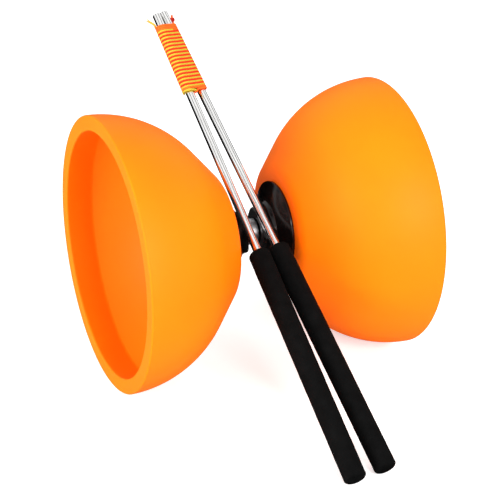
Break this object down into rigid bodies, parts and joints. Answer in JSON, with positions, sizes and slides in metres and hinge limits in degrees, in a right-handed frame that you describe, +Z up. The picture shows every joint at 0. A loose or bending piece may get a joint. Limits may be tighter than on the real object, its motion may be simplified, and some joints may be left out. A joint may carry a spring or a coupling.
{
  "type": "diabolo",
  "caption": "Two-cup spinning top with a ball-bearing axle roller and a pair of hand sticks tied together by their wound string.",
  "frame": {"origin": "on the floor, under the middle of the bounding box: half-way between the cups along the axle, between the grips' ends and the stick tips", "axes": "+X along the spool axle towards the right cup, +Y from the grips' ends towards the stick tips, +Z up from the floor"},
  "size_m": [0.154, 0.2584, 0.1566],
  "materials": {
    "cup_plastic": "satin moulded flexible plastic",
    "hub_plastic": "gloss moulded",
    "roller_steel": "polished",
    "hardware_steel": "zinc plated",
    "nylon": "moulded nylon",
    "rod_metal": "polished",
    "grip_foam": "closed-cell foam",
    "string_cord": "braided polyester, orange and yellow"
  },
  "bodies": {
    "spool": {"left_cup": "cup_plastic", "left_hub": "hub_plastic", "left_clamp_plate": "hub_plastic", "left_washer": "hardware_steel", "left_nut": "hardware_steel", "left_nut_insert": "nylon", "left_inner_race": "hardware_steel", "left_shim": "hardware_steel", "right_cup": "cup_plastic", "right_hub": "hub_plastic", "right_clamp_plate": "hub_plastic", "right_washer": "hardware_steel", "right_nut": "hardware_steel", "right_nut_insert": "nylon", "right_inner_race": "hardware_steel", "right_shim": "hardware_steel", "spindle": "hardware_steel", "bearing_spacer": "hardware_steel"},
    "roller": {"axle_roller": "roller_steel", "left_outer_race": "hardware_steel", "left_shield": "hardware_steel", "right_outer_race": "hardware_steel", "right_shield": "hardware_steel"},
    "left_ball_set": {"left_cage": "nylon", "left_balls": "hardware_steel"},
    "right_ball_set": {"right_cage": "nylon", "right_balls": "hardware_steel"},
    "sticks": {"left_rod": "rod_metal", "left_grip": "grip_foam", "right_rod": "rod_metal", "right_grip": "grip_foam", "string_coil": "string_cord", "left_string_tail": "string_cord", "right_string_tail": "string_cord"}
  },
  "joints": [
    {"name": "roller_spin", "type": "hinge", "parent": "spool", "child": "roller", "pos_m": [0, 0.0148, 0.07], "axis": [1, 0, 0], "continuous": true},
    {"name": "left_balls_orbit", "type": "hinge", "parent": "spool", "child": "left_ball_set", "pos_m": [0, 0.0148, 0.07], "axis": [1, 0, 0], "continuous": true},
    {"name": "right_balls_orbit", "type": "hinge", "parent": "spool", "child": "right_ball_set", "pos_m": [0, 0.0148, 0.07], "axis": [1, 0, 0], "continuous": true},
    {"name": "sticks_lift", "type": "slide", "parent": "spool", "child": "sticks", "axis": [0, -0.5128, 0.8585], "range_m": [0, 0.2]}
  ],
  "couplings": [
    {"joint": "left_balls_orbit", "follows": "roller_spin", "ratio": 0.58889},
    {"joint": "right_balls_orbit", "follows": "roller_spin", "ratio": 0.58889}
  ]
}
